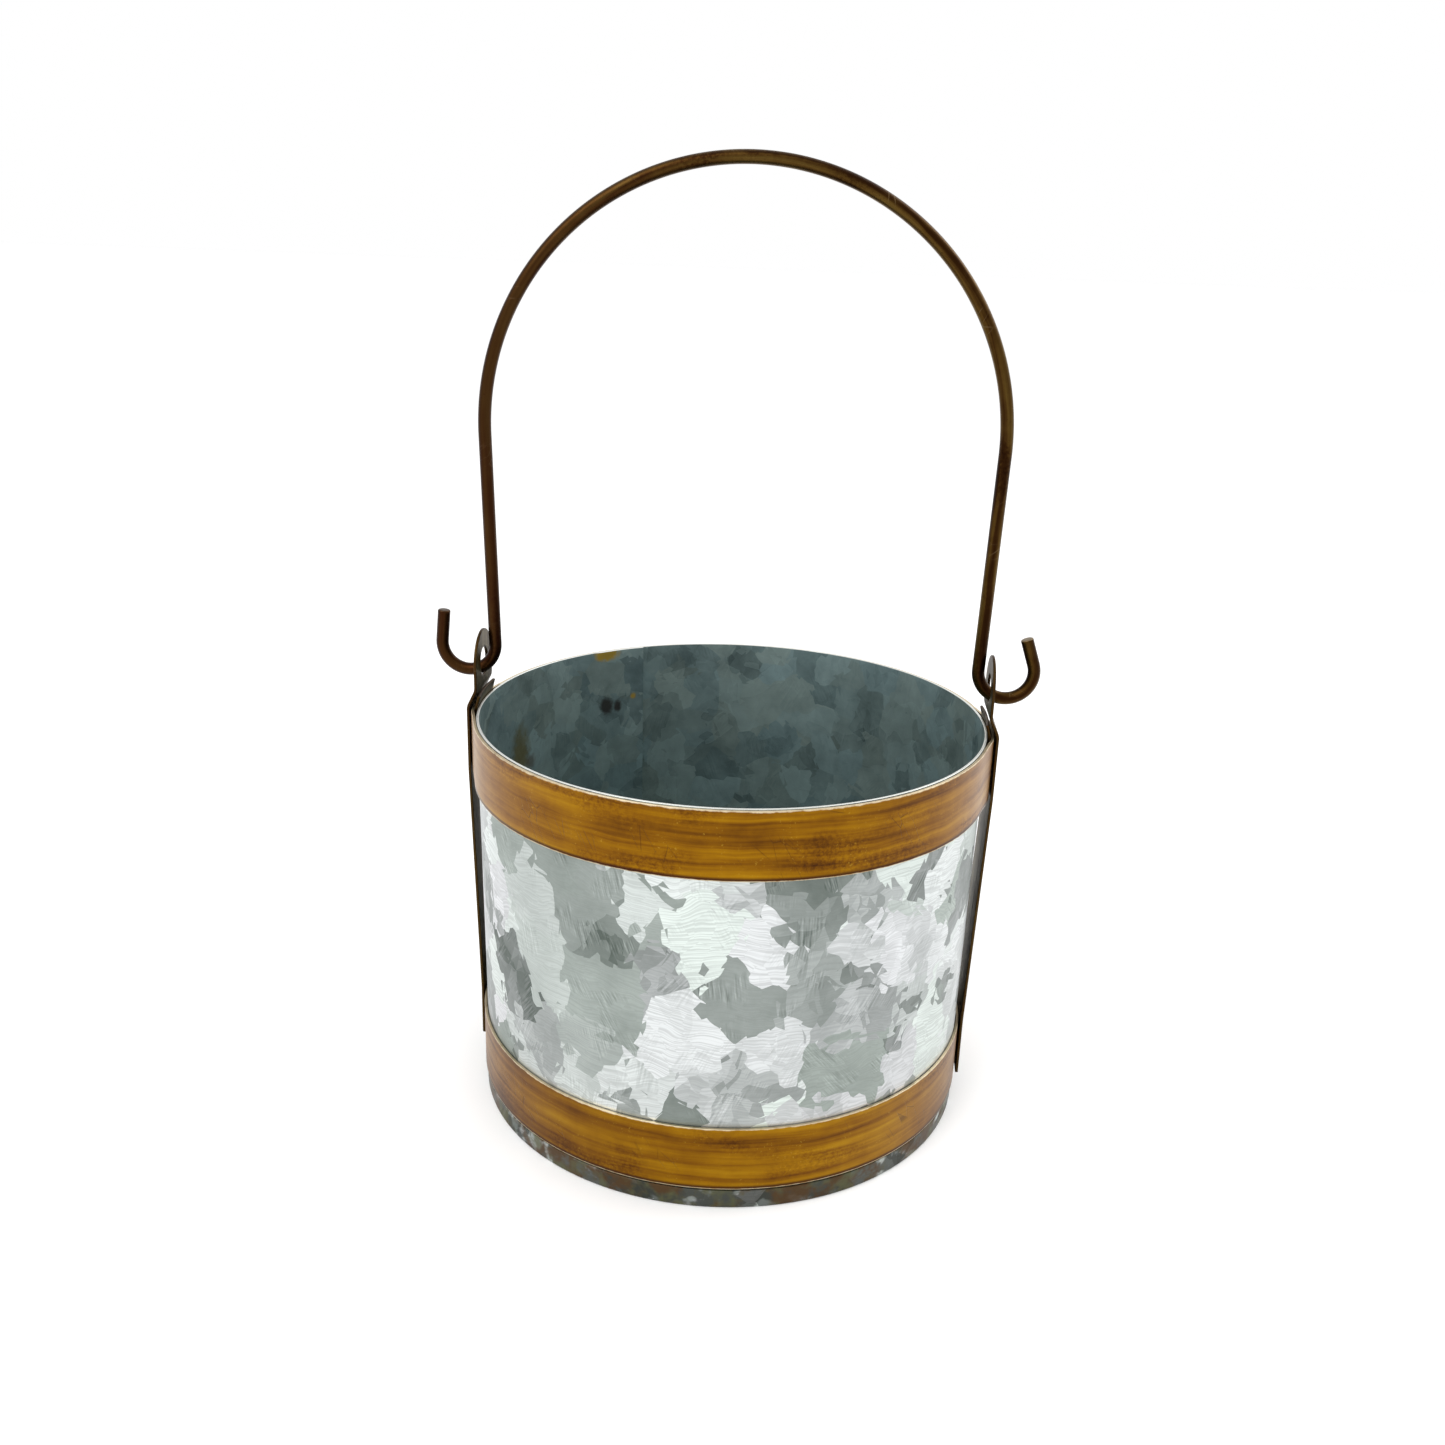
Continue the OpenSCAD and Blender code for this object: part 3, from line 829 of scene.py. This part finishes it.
topFront = pail["rimR"] + pail["hoopGap"]
topSide = topFront + pail["stripThick"] + pail["hoopGap"]
tabHalf = math.asin(pail["stripWidth"] / 2 / topFront)


belt = dict(pastTab=math.radians(0.5), early=math.radians(2.5))


def beltRadius(a):
    # The further radius over each tab, the nearer one in front and behind, and between them a
    # straight flank: (the flank's distance from the axis) / cos(angle from its normal)
    overTab = tabHalf + belt["pastTab"]
    flankEnd = overTab + math.acos(topFront / topSide) - belt["early"]
    near = topSide * np.array([math.cos(overTab), math.sin(overTab)])
    far = topFront * np.array([math.cos(flankEnd), math.sin(flankEnd)])
    normal = np.array([far[1] - near[1], near[0] - far[0]]) / np.linalg.norm(far - near)
    fromTab = np.abs((a + math.pi / 2) % math.pi - math.pi / 2)
    flank = (normal @ near) / np.cos(fromTab - math.atan2(normal[1], normal[0]))
    return np.where(fromTab < overTab, topSide, np.where(fromTab < flankEnd, flank, topFront))


topZ = pail["height"] - pail["hoopDrop"] - pail["stripWidth"]
lowR = wallR(pail["lowHoopZ"] + pail["stripWidth"]) + pail["hoopGap"]
makeHoop("topHoop", "top_hoop", beltRadius, topZ, 1.0)
makeHoop("bottomHoop", "bottom_hoop", lambda a: lowR + 0 * a, pail["lowHoopZ"], 2.0)

strap = dict(
    gap=0.1 * mm,
    slope=26,                   # degrees, as is the slanted cut
    cut=7,
    bend=2.0 * mm,
    bendRadii=(30 * mm, 30 * mm, 2.4 * mm, 2.4 * mm),
    end=8 * mm,
    corner=0.9 * mm,
    cornerSlope=0.9,
    columns=24,
    rows=110,
    earRows=9,
    bevel=0.16 * mm,
)


def makeStrap(name, node, side):
    # The strap's outline is laid out flat, as (across, along), then carried up a bent path
    width, half = pail["stripWidth"], pail["stripWidth"] / 2
    thick, slope = pail["stripThick"], math.radians(strap["slope"])
    lowX = lowR + thick + strap["gap"] + thick / 2
    highX = topSide + thick + strap["gap"] + thick / 2
    earX = pail["earFaceX"] + thick / 2
    jogZ = pail["height"] - pail["hoopDrop"] + strap["bend"] * math.tan(slope / 2)
    jogTop = jogZ + (highX - earX) / math.tan(slope)
    corners = [(lowX, 0), (lowX, pail["lowHoopZ"] + width), (highX, topZ), (highX, jogZ),
               (earX, jogTop), (earX, pail["earZ"] + width)]
    s, path = roundedPath(corners, strap["bendRadii"])
    earS = np.interp(pail["earZ"], path[:, 1], s)
    # the body: from the slanted lower end, with its corners taken off, up to the ear
    y = np.linspace(-half, half, strap["columns"] + 1)[None, :]
    inCorner = np.maximum(0, np.abs(y) - (half - strap["corner"]))
    start = strap["end"] + y * math.tan(math.radians(strap["cut"])) + inCorner * strap["cornerSlope"]
    along = start + (earS - half - start) * np.linspace(0, 1, strap["rows"])[:, None]
    body = paired(y, along)
    bodyEdge = np.minimum(half - np.abs(y), along - start) / mm
    # the ear: from the hole's circle out to a half round above and to the strap's square top below
    bottom = paired(y[0], -half)
    up = np.linspace(-half, 0, 9)[1:-1]
    turn = np.linspace(0, math.pi, 41)
    dome = half * paired(np.cos(turn), np.sin(turn))
    rim = np.concatenate([bottom, paired(half, up), dome, paired(-half, up[::-1]), bottom[:1]])
    ring = rim / np.linalg.norm(rim, axis=1, keepdims=True) * pail["holeR"]
    u = np.linspace(0, 1, strap["earRows"])[:, None, None]
    ear = ring * (1 - u) + rim * u
    fromHole = np.linalg.norm(ear, axis=-1)
    toRim = half - np.where(ear[..., 1] > 0, fromHole, np.abs(ear[..., 0]))
    earEdge = np.minimum(fromHole - pail["holeR"], toRim) / mm
    patches = []
    for flat, edge in ((body, bodyEdge), (ear + np.array([0, earS]), earEdge)):
        x, z = (np.interp(flat[..., 1], s, path[:, k]) for k in (0, 1))
        points = np.stack([side * x, side * flat[..., 0], z], -1)
        uv = flat[..., ::-1] + np.array([0.0, half]) + 4.0 + side
        patches.append(dict(points=points, uv=uv, values=dict(edge=np.maximum(edge, 0), shadeLineAndRedTint=0.0)))
    piece = makePiece(name, patches, "bucket", [node], [strapSkin])
    thicken(piece, thick, strap["bevel"])


makeStrap("rightStrap", "right_strap", 1)
makeStrap("leftStrap", "left_strap", -1)

tab = dict(low=1.5 * mm, rise=3.5 * mm, lean=15, bend=1.5 * mm, step=0.6 * mm, columns=20,
           bevel=0.16 * mm)


def makeTab(name, node, side):
    r = topFront + pail["stripThick"] / 2
    kneeZ = pail["height"] + pail["hoopGap"]
    above = tab["rise"] - pail["hoopGap"]
    leanIn = above * math.tan(math.radians(tab["lean"]))
    corners = [(r, topZ + tab["low"]), (r, kneeZ), (r - leanIn, kneeZ + above)]
    s, path = roundedPath(corners, [tab["bend"]], tab["step"])
    a = np.linspace(-tabHalf, tabHalf, tab["columns"] + 1)[None, :]
    radius, z = path[:, 0][:, None], path[:, 1][:, None]
    points = around(radius, a, z) * np.array([side, side, 1])
    across, along = (a + tabHalf) * r, s[:, None]
    uv = paired(along + 6 + side, across)
    edge = np.minimum(np.minimum(across, across[0, -1] - across), s[-1] - along) / mm
    patch = dict(points=points, uv=uv, values=dict(edge=edge, shadeLineAndRedTint=0.0))
    piece = makePiece(name, [patch], "bucket", [node], [strapSkin])
    thicken(piece, pail["stripThick"], tab["bevel"])


makeTab("rightTab", "right_tab", 1)
makeTab("leftTab", "left_tab", -1)
print("hoops, straps and tabs made")

bail = dict(
    wire=3.7 * mm,
    leg=61.4 * mm,
    slope=1.6,                  # degrees, as are both leans
    hookR=8 * mm,
    hookOffset=3.65 * mm,
    gap=0.15 * mm,
    leftTip=9.2 * mm,
    leftLean=5,
    rightTip=8 * mm,
    rightLean=19,
    chamfer=0.35 * mm,
    sides=28,
    step=0.8 * mm,
    redSpan=(-70 * mm, 5 * mm),
    redShare=0.85,
)


def makeBail():
    r, slope, hookR = bail["wire"] / 2, math.radians(bail["slope"]), bail["hookR"]
    hookX = pail["earFaceX"] + pail["stripThick"] + bail["hookOffset"]
    # the wire rests on the hole's lower edge: the hook's centre stands above it by Pythagoras
    hookRise = math.sqrt((hookR + r) ** 2 - bail["hookOffset"] ** 2)
    hookZ = pail["earZ"] - pail["holeR"] + bail["gap"] + hookRise
    archR = (hookX + bail["leg"] * math.sin(slope)) / math.cos(slope) - hookR
    archZ = hookZ + (archR + hookR) * math.sin(slope) + bail["leg"] * math.cos(slope)

    def halfPath(tip, leanDegrees):
        # from the arch's top to the hook's tip, at +X
        lean = math.radians(leanDegrees)
        t = np.linspace(math.pi / 2, -slope, 160)
        archPart = np.stack([archR * np.cos(t), archZ + archR * np.sin(t)], -1)
        # the hook turns about its own middle, from the leg's side round below to the tip's side
        t = np.linspace(math.pi - slope, 2 * math.pi + lean, 60)
        hookPart = np.stack([hookX + hookR * np.cos(t), hookZ + hookR * np.sin(t)], -1)
        end = hookPart[-1] + tip * np.array([-math.sin(lean), math.cos(lean)])
        return np.concatenate([archPart, hookPart, [end]])

    right = halfPath(bail["rightTip"], bail["rightLean"])
    left = halfPath(bail["leftTip"], bail["leftLean"]) * np.array([-1, 1])
    path = np.concatenate([left[::-1], right[1:]])
    length = lengthAlong(path)
    total = length[-1]
    s = np.linspace(0, total, int(total / bail["step"]))
    centre = np.stack([np.interp(s, length, path[:, k]) for k in (0, 1)], -1)
    tangent = np.gradient(centre, s, axis=0)
    tangent /= np.linalg.norm(tangent, axis=1, keepdims=True)
    # cut ends: the last rings draw in over a small chamfer, to a point that closes the end
    chamfer, soft = bail["chamfer"], cornerShare * bail["chamfer"]
    endS = np.array([0.0, 0.0, 0.0, soft, chamfer])
    endR = np.array([0.0, 0.45 * r, r - chamfer, r - soft, r])
    middle = s[(s > 2 * chamfer) & (s < total - 2 * chamfer)]
    ringS = np.concatenate([endS, middle, total - endS[::-1]])[:, None]
    ringR = np.concatenate([endR, r + 0 * middle, endR[::-1]])[:, None]
    cx, cz = (np.interp(ringS, s, centre[:, k]) for k in (0, 1))
    g = np.concatenate([np.interp(ringS, s, tangent[:, k]) for k in (0, 1)], -1)
    gx, gz = np.split(g / np.linalg.norm(g, axis=1, keepdims=True), 2, axis=1)
    phi = np.linspace(0, 2 * math.pi, bail["sides"] + 1)[None, :]
    out = ringR * np.cos(phi)
    points = np.stack([cx - gz * out, ringR * np.sin(phi), cz + gx * out], -1)
    uv = paired(ringS + 9, phi * r)
    fromEnd = np.minimum(ringS, total - ringS) / mm
    atCut = np.where(ringR < r - 0.01 * mm, 0.0, fromEnd + 0.15)
    redder = (1 - smoothStep(cx, *bail["redSpan"])) * bail["redShare"]
    patch = dict(points=points, uv=uv, values=dict(edge=atCut, shadeLineAndRedTint=redder))
    makePiece("bailWire", [patch], "bail", ["bail"], [bailSkin], 60)


makeBail()
print("bail made")

# The sky is as strong as sky where the camera sees it, and fill is how strongly it lights
studio = dict(floor=(0.95, 0.95, 0.95), floorSize=30.0, floorRough=0.75, sky=1.0, fill=1.08,
              key=dict(place=(-0.75, -0.9, 1.15), size=1.0, power=12),
              rim=dict(place=(0.9, 0.5, 1.0), size=0.9, power=7))


def makeFloor():
    s = studio["floorSize"] / 2
    mesh = bpy.data.meshes.new("floor")
    mesh.from_pydata([(-s, -s, 0), (s, -s, 0), (s, s, 0), (-s, s, 0)], [], [(0, 1, 2, 3)])
    floor = bpy.data.objects.new("floor", mesh)
    bpy.context.scene.collection.objects.link(floor)
    material, tree, shader = newMaterial("paleFloor", 0.0, studio["floor"])
    shader.inputs["Base Color"].default_value = (*studio["floor"], 1)
    shader.inputs["Roughness"].default_value = studio["floorRough"]
    mesh.materials.append(material)


def makeSky():
    world = bpy.data.worlds.new("studioWorld")
    world.use_nodes = True
    tree = world.node_tree
    background = tree.nodes["Background"]
    background.inputs["Color"].default_value = (1, 1, 1, 1)
    seen = put(tree, "ShaderNodeLightPath", out="Is Camera Ray")
    power = calc(tree, "MULTIPLY_ADD", seen, studio["sky"] - studio["fill"], studio["fill"])
    tree.links.new(power, background.inputs["Strength"])
    bpy.context.scene.world = world


def addSoftLight(name, place, size, power):
    data = bpy.data.lights.new(name, "AREA")
    data.shape = "SQUARE"
    data.size = size
    data.energy = power
    light = bpy.data.objects.new(name, data)
    light.location = place
    aim = Vector((0, 0, 0.1)) - Vector(place)
    light.rotation_euler = aim.to_track_quat("-Z", "Y").to_euler()
    bpy.context.scene.collection.objects.link(light)


view = dict(
    place=(25.3 * mm, -392.0 * mm, 250.8 * mm),
    target=(-2.73 * mm, -0.2 * mm, 115.7 * mm),
    roll=1.95,
    lens=34.66,
)


def makeCamera():
    data = bpy.data.cameras.new("camera")
    data.lens, data.sensor_width = view["lens"], 36
    data.clip_start, data.clip_end = 0.01, 30
    camera = bpy.data.objects.new("camera", data)
    bpy.context.scene.collection.objects.link(camera)
    place, target = Vector(view["place"]), Vector(view["target"])
    back = (place - target).normalized()
    right = Vector((0, 0, 1)).cross(back).normalized()
    up = back.cross(right)
    roll = math.radians(view["roll"])
    tilted = right * math.cos(roll) + up * math.sin(roll)
    turn = Matrix((tilted, back.cross(tilted), back)).transposed()
    camera.matrix_world = Matrix.Translation(place) @ turn.to_4x4()
    bpy.context.scene.camera = camera


makeFloor()
makeSky()
addSoftLight("keyLight", **studio["key"])
addSoftLight("rimLight", **studio["rim"])
makeCamera()
bpy.context.scene.view_settings.view_transform = "Standard"
bpy.context.scene.view_settings.look = "None"
print("studio made")
